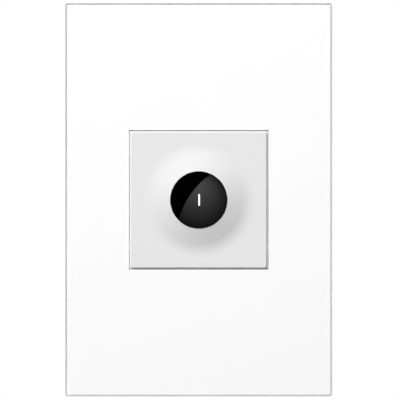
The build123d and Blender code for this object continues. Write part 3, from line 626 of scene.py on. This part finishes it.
ground_x, ground_z = -20.0, -34.0
ground_head = 3.69
ground_shank = 1.4
ground_points = [(0, -1.9), (3.1, -1.9), (ground_head, -1.6), (ground_head, 0.1), (3.5, 0.3)]
ground_points += [(ground_shank, 0.3), (ground_shank, 3.4), (1.2, 3.7), (0, 3.7)]
head = spun("ground_screw_head", ground_points, steps=6)
slotted(head, (8, 1), back=-2.5, front=-0.9)
ridge = thread(1.35, crest=1.75, pitch=0.8, start=3.6, turns=4)
ground = joined(head, ridge)
ground.location = (ground_x * mm, 0, ground_z * mm)
bpy.ops.object.transform_apply(location=True)
coat(plated("green lacquer", (0.02, 0.32, 0.09), roughness=0.35), ground)
fit(ground, "ground_screw")

# Wall plate: one white moulding without screws, drafted on its four sides, that snaps over the frame. Its
# four corners and all its edges are softly rounded.
plate_corner = 0.6
plate_edge = 0.12
opening_reach = 24
sharp_opening = 23.2 / 23.4
opening_fit = 0.991
plate_low, plate_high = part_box("wall_plate")
plate = merged("wall_plate")
press(plate)


def at_corner(e):
    """True for the long edges at the four outer corners of the plate."""
    ends = [v.co for v in e.verts]
    outer = all(abs(c.x) > plate_high.x - mm and abs(c.z) > plate_high.z - mm for c in ends)
    return outer and abs(ends[0].y - ends[1].y) > 0.3 * mm


def in_opening(v):
    """True for the corners of the plate that lie at its square opening."""
    return max(abs(v.co.x), abs(v.co.z)) < opening_reach * mm


pick("EDGE", at_corner)
bpy.ops.mesh.bevel(offset=plate_corner * mm, segments=5, affect="EDGES")
pick("VERT", lambda v: in_opening(v) and v.co.y < plate_low.y + 0.05 * mm)
bpy.ops.transform.resize(value=(sharp_opening, 1, sharp_opening), center_override=(0, 0, 0))
pick("VERT", in_opening)
bpy.ops.transform.resize(value=(opening_fit, 1, opening_fit), center_override=(0, 0, 0))
bpy.ops.object.mode_set(mode="OBJECT")
rounded(plate, plate_edge, steps=3)
plate_white = moulded("plate white", (0.9, 0.9, 0.9), roughness=0.38, grain=0.3 * mm, depth=0.003 * mm)
dress("wall_plate", plate, plate_white)

# Face cover: square cap of the switch, one light grey moulding whose front swells into a bell. The bell is
# spun with the flat round it, which is cut square and drawn back into the skirt, with a small step that
# leaves a fine groove round the face. The hollow is then cut out.
cover_low, cover_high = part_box("face_cover")
lens_low, lens_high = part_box("sensor_lens")
cover_front = 7.55
cover_inner_front = 6.2
cover_back = -cover_high.y / mm
bell_front = -cover_low.y / mm
cover_half = cover_high.x / mm - 0.02
cover_wall = 1.6
cover_edge = 0.3
cover_corner = 0.5
skirt_edge = 0.15
face_half = cover_half - 0.45
step_front = 6.6
rim_half = face_half - cover_edge
flat_half = rim_half - 0.15
spin_reach = 33
bell_foot = 18.9
bell_bend = 12.0
bell_slope = 22
lens_flange = 1.2
lens_gap = 0.02
lens_radius = lens_high.x / mm - lens_flange
lens_seat = bell_front - 1.25
lip_edge = 0.02
turn_steps = 124

hole = lens_radius + lens_gap
hole_back = lens_seat - 0.2
edge_front = bell_front - (hole + lip_edge - lens_radius) * math.tan(math.radians(bell_slope))
bell_points = [(0, hole_back), (hole, hole_back), (hole, edge_front - lip_edge)]
bell_points += [(hole + lip_edge, edge_front)]
bell_points += arc((bell_foot, cover_front + bell_bend), bell_bend, -90 - bell_slope, -90, 24)
bell_points += [(spin_reach, cover_front)]
cover = spun("face_cover_moulding", bell_points, turn_steps)
press(cover)
for side in ((1, 0, 0), (-1, 0, 0), (0, 0, 1), (0, 0, -1)):
    bpy.ops.mesh.select_all(action="SELECT")
    bpy.ops.mesh.bisect(plane_co=[c * flat_half * mm for c in side], plane_no=side, clear_outer=True)
pick("VERT", lambda v: min(abs(v.co.x), abs(v.co.z)) > (flat_half - 0.01) * mm)
bpy.ops.mesh.bevel(offset=cover_corner * mm, segments=6, affect="VERTICES")
pick("EDGE", lambda e: e.is_boundary)
rows = [(rim_half, cover_front)]
rows += arc((rim_half, cover_front - cover_edge), cover_edge, 90, 0, 6)[1:]
rows += [(face_half, step_front), (cover_half, step_front), (cover_half, cover_back + skirt_edge),
         (cover_half - skirt_edge, cover_back)]
half, front = flat_half, cover_front
for next_half, next_front in rows:
    bpy.ops.mesh.extrude_edges_move(TRANSFORM_OT_translate={"value": (0, (front - next_front) * mm, 0)})
    bpy.ops.transform.resize(value=(next_half / half, 1, next_half / half), center_override=(0, 0, 0))
    half, front = next_half, next_front
bpy.ops.mesh.edge_face_add()
bpy.ops.mesh.select_all(action="SELECT")
bpy.ops.mesh.normals_make_consistent(inside=False)
bpy.ops.object.mode_set(mode="OBJECT")

hollow_back = 1
throat = 10.73
throat_back = 8.307
hollow_foot = 15.945
bell_hollow = [(0, lens_seat), (throat, lens_seat), (throat, throat_back), (hollow_foot, cover_inner_front),
               (hollow_foot, hollow_back), (0, hollow_back)]
inner_width = 2 * (cover_half - cover_wall)
hollow(cover, spun("bell_hollow", bell_hollow, turn_steps))
hollow(cover, block("skirt_hollow", (0, 0), (inner_width, inner_width),
                    hollow_back, cover_inner_front, edge=0.3))
post_place = 16
post_size = (2.6, 2.6)
post = block("cover_post", (-post_place, -post_place), post_size,
             board_front, cover_inner_front + 0.2, edge=0.2, steps=2)
post_step = 2 * post_place
cover = joined(cover, *copies(post, [(post_step, 0, 0), (0, 0, post_step), (post_step, 0, post_step)]))
cover_grey = moulded("cover light grey", (0.73, 0.73, 0.735), roughness=0.4, grain=0.3 * mm, depth=0.003 * mm)
coat(cover_grey, cover)
fit(cover, "face_cover")

# Sensor lens: glossy infrared-black plastic, domed in front, with a small rounded edge, and a flange that
# the bell holds from in front.
dome_radius = 16.7
dome_front = -lens_low.y / mm
dome_middle = dome_front - dome_radius
lens_edge = 0.3
lens_wall = 1.3
flange_depth = 1
flange_back = -lens_high.y / mm
flange_radius = lens_radius + lens_flange
edge_reach = math.degrees(math.asin((lens_radius - lens_edge) / (dome_radius - lens_edge)))
edge_middle = (lens_radius - lens_edge,
               dome_middle + (dome_radius - lens_edge) * math.cos(math.radians(edge_reach)))
inner_reach = math.degrees(math.asin((lens_radius - lens_wall) / (dome_radius - lens_wall)))
lens_points = arc((0, dome_middle), dome_radius, 90, 90 - edge_reach, 40)
lens_points += arc(edge_middle, lens_edge, 90 - edge_reach, 0, 8)[1:]
lens_points += [(lens_radius, flange_back + flange_depth), (flange_radius, flange_back + flange_depth),
                (flange_radius, flange_back), (lens_radius - lens_wall, flange_back)]
lens_points += arc((0, dome_middle), dome_radius - lens_wall, 90 - inner_reach, 90, 16)
lens = spun("sensor_lens_moulding", lens_points, turn_steps)
infrared_black = bpy.data.materials.new("infrared black")
infrared_black.use_nodes = True
infrared_shader = infrared_black.node_tree.nodes["Principled BSDF"]
infrared_shader.inputs["Base Color"].default_value = (0.0004, 0.0004, 0.0004, 1)
infrared_shader.inputs["IOR"].default_value = 1.5
uneven_gloss(infrared_black, 0.015, 0.03)
coat(infrared_black, lens)
fit(lens, "sensor_lens", angle=40)

# Indicator bar: clear light pipe, one moulding with a wider foot behind the dome. It ends flush in the
# dome, a hair to the right of its middle, and the status light behind it fills its end.
bar_x = 0.12
bar_width, bar_height = 0.53, 3.85
bar_back = -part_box("indicator_bar")[1].y / mm
bar_proud = 0.02
foot_size = (2.6, 4.9)
foot_depth = 0.8
bar = block("indicator_bar_light", (bar_x, 0), (bar_width, bar_height),
            bar_back, dome_front + 1, edge=0.15, steps=4)
foot = block("indicator_bar_foot", (0, 0), foot_size,
             flange_back, flange_back + foot_depth, edge=0.1, steps=2)
bpy.ops.object.select_all(action="DESELECT")
bpy.ops.mesh.primitive_uv_sphere_add(segments=256, ring_count=128, radius=(dome_radius + bar_proud) * mm,
                                     location=(0, -dome_middle * mm, 0))
hollow(bar, bpy.context.object, "INTERSECT")
bar = joined(bar, foot)
lit = bpy.data.materials.new("lit light pipe")
lit.use_nodes = True
lit_shader = lit.node_tree.nodes["Principled BSDF"]
lit_shader.inputs["Base Color"].default_value = (0.3, 0.3, 0.3, 1)
lit_shader.inputs["Emission Color"].default_value = (1, 1, 1, 1)
lit_shader.inputs["Emission Strength"].default_value = 0.9
uneven_gloss(lit, 0.25, 0.35, cloud=0.5 * mm)
coat(lit, bar)
fit(bar, "indicator_bar")

# Camera: a long lens, square to the plate and a little off its middle, as in the picture. What it sees at
# the wall is wall_view wide.
wall_view = 132.48
camera_x, camera_z = 0.4, -0.02
camera_lens = 600
sensor = 36
bpy.ops.object.select_all(action="DESELECT")
bpy.ops.object.camera_add(location=(camera_x * mm, -wall_view * mm * camera_lens / sensor, camera_z * mm),
                          rotation=(math.pi / 2, 0, 0))
camera = bpy.context.object
camera.data.lens = camera_lens
camera.data.sensor_width = sensor
camera.data.clip_end = 20
bpy.context.scene.camera = camera
bpy.context.scene.view_settings.view_transform = "Standard"


# Background: a plain white studio. It is white to the camera, to gloss and through clear pieces, and gives
# a low even light to the rest.
def backdrop_level(tree, least, most):
    """Strength of a backdrop: most to the camera, gloss and clear pieces, and least to the rest."""
    rays = tree.nodes.new("ShaderNodeLightPath")
    seen = tree.nodes.new("ShaderNodeMath")
    seen.operation = "MAXIMUM"
    clear = tree.nodes.new("ShaderNodeMath")
    clear.operation = "MAXIMUM"
    level = tree.nodes.new("ShaderNodeMapRange")
    level.inputs["To Min"].default_value = least
    level.inputs["To Max"].default_value = most
    tree.links.new(rays.outputs["Is Camera Ray"], seen.inputs[0])
    tree.links.new(rays.outputs["Is Glossy Ray"], seen.inputs[1])
    tree.links.new(seen.outputs["Value"], clear.inputs[0])
    tree.links.new(rays.outputs["Is Transmission Ray"], clear.inputs[1])
    tree.links.new(clear.outputs["Value"], level.inputs["Value"])
    return level.outputs["Result"]


ambient = 0.06
world = bpy.data.worlds.new("studio")
world.use_nodes = True
bpy.context.scene.world = world
sky = world.node_tree.nodes["Background"]
sky.inputs["Color"].default_value = (1, 1, 1, 1)
world.node_tree.links.new(backdrop_level(world.node_tree, ambient, 1), sky.inputs["Strength"])


# Lamps: a soft key from the upper left, and four weaker ones from behind that light the edges of the plate
# and the back.
def soft_lamp(name, direction, distance, size, brightness):
    """Square soft lamp that gives a white surface facing it this brightness. Gloss doesn't show it."""
    bpy.ops.object.select_all(action="DESELECT")
    towards = Vector(direction).normalized()
    bpy.ops.object.light_add(type="AREA", location=towards * distance)
    lamp = bpy.context.object
    lamp.name = name
    lamp.rotation_mode = "QUATERNION"
    lamp.rotation_quaternion = towards.to_track_quat("Z", "Y")
    lamp.data.size = size
    lamp.data.energy = brightness * math.pi**2 * distance**2
    lamp.visible_camera = False
    lamp.visible_glossy = False


key_direction = (-0.29, -0.73, 0.62)
key_distance, key_size = 2.4, 1.0
fill_distance, fill_size = 1.0, 0.5
fill_out, fill_back = 0.94, 0.34
soft_lamp("key", key_direction, key_distance, key_size, brightness=1.31)
for name, direction, brightness in (("left fill", (-fill_out, fill_back, 0), 0.2),
                                    ("right fill", (fill_out, fill_back, 0), 0.36),
                                    ("top fill", (0, fill_back, fill_out), 0.16),
                                    ("bottom fill", (0, fill_back, -fill_out), 0.36)):
    soft_lamp(name, direction, fill_distance, fill_size, brightness)

# Floor: plain, pale and matt, and far below the switch, which hangs on a wall. Like the background it is
# light to the camera and to gloss.
floor_size = 40
floor_z = -1.5
bpy.ops.object.select_all(action="DESELECT")
bpy.ops.mesh.primitive_plane_add(size=floor_size, location=(0, 0, floor_z))
floor = bpy.context.object
floor.name = "floor"
pale = bpy.data.materials.new("pale floor")
pale.use_nodes = True
tree = pale.node_tree
shader = tree.nodes["Principled BSDF"]
shader.inputs["Base Color"].default_value = (0.85, 0.85, 0.85, 1)
uneven_gloss(pale, 0.75, 0.85, cloud=50 * mm)
shader.inputs["Emission Color"].default_value = (1, 1, 1, 1)
tree.links.new(backdrop_level(tree, 0, 0.7), shader.inputs["Emission Strength"])
floor.data.materials.append(pale)

# Flags: two narrow cards just outside the plate that keep the key off its top and left sides, so that these
# show as the fine grey outline that the picture has. The camera doesn't see them.
flag_front = 0.6
top_size, top_gap = (110, 11), 5.4
left_size, left_gap, left_z = (6, 141), 2.6, 5.5
for name, x, z, size in (("top flag", 0, plate_high.z + top_gap * mm, top_size),
                         ("left flag", plate_low.x - left_gap * mm, left_z * mm, left_size)):
    bpy.ops.object.select_all(action="DESELECT")
    bpy.ops.mesh.primitive_plane_add(size=1, location=(x, plate_low.y - flag_front * mm, z),
                                     rotation=(math.pi / 2, 0, 0))
    flag = bpy.context.object
    flag.name = name
    flag.scale = (size[0] * mm, size[1] * mm, 1)
    bpy.ops.object.transform_apply(location=True, rotation=True, scale=True)
    flag.visible_camera = flag.visible_glossy = flag.visible_transmission = False
    flag.data.materials.append(pale)

# Card in front of the switch that only gloss sees: dark at the upper left, and lit from its slanting edge
# down to the lower right. It is brightest above the middle and fades away all round.
card_size = 4
card_distance = 0.25
card_lean = 1.43
card_shift = 0.496
card_bright = 1.5
card_spread = 0.92
card_middle = (-0.05 * card_distance, -card_distance, 0.6 * card_distance)
bpy.ops.object.select_all(action="DESELECT")
bpy.ops.mesh.primitive_plane_add(size=card_size, location=(0, -card_distance, 0),
                                 rotation=(-math.pi / 2, 0, 0))
card = bpy.context.object
card.name = "reflected card"
bpy.ops.object.transform_apply(location=True, rotation=True)
card.visible_camera = False
card.visible_diffuse = False
card.visible_shadow = False
card.visible_transmission = False
card.visible_volume_scatter = False
paper = bpy.data.materials.new("card")
paper.use_nodes = True
tree = paper.node_tree
tree.nodes.remove(tree.nodes["Principled BSDF"])
glow = tree.nodes.new("ShaderNodeEmission")
place = tree.nodes.new("ShaderNodeTexCoord")
across = tree.nodes.new("ShaderNodeVectorMath")
across.operation = "DOT_PRODUCT"
across.inputs[1].default_value = (card_lean, 0, -1)
lit_side = tree.nodes.new("ShaderNodeMath")
lit_side.operation = "GREATER_THAN"
lit_side.inputs[1].default_value = -card_lean * card_shift * card_distance
away = tree.nodes.new("ShaderNodeVectorMath")
away.operation = "DISTANCE"
away.inputs[1].default_value = card_middle
widths = tree.nodes.new("ShaderNodeMath")
widths.operation = "DIVIDE"
widths.inputs[1].default_value = card_spread * card_distance
squared = tree.nodes.new("ShaderNodeMath")
squared.operation = "MULTIPLY_ADD"
squared.inputs[2].default_value = 1
fading = tree.nodes.new("ShaderNodeMath")
fading.operation = "DIVIDE"
fading.inputs[0].default_value = card_bright
switched = tree.nodes.new("ShaderNodeMath")
switched.operation = "MULTIPLY"
tree.links.new(place.outputs["Object"], across.inputs[0])
tree.links.new(across.outputs["Value"], lit_side.inputs[0])
tree.links.new(place.outputs["Object"], away.inputs[0])
tree.links.new(away.outputs["Value"], widths.inputs[0])
tree.links.new(widths.outputs["Value"], squared.inputs[0])
tree.links.new(widths.outputs["Value"], squared.inputs[1])
tree.links.new(squared.outputs["Value"], fading.inputs[1])
tree.links.new(fading.outputs["Value"], switched.inputs[0])
tree.links.new(lit_side.outputs["Value"], switched.inputs[1])
tree.links.new(switched.outputs["Value"], glow.inputs["Strength"])
tree.links.new(glow.outputs["Emission"], tree.nodes["Material Output"].inputs["Surface"])
card.data.materials.append(paper)
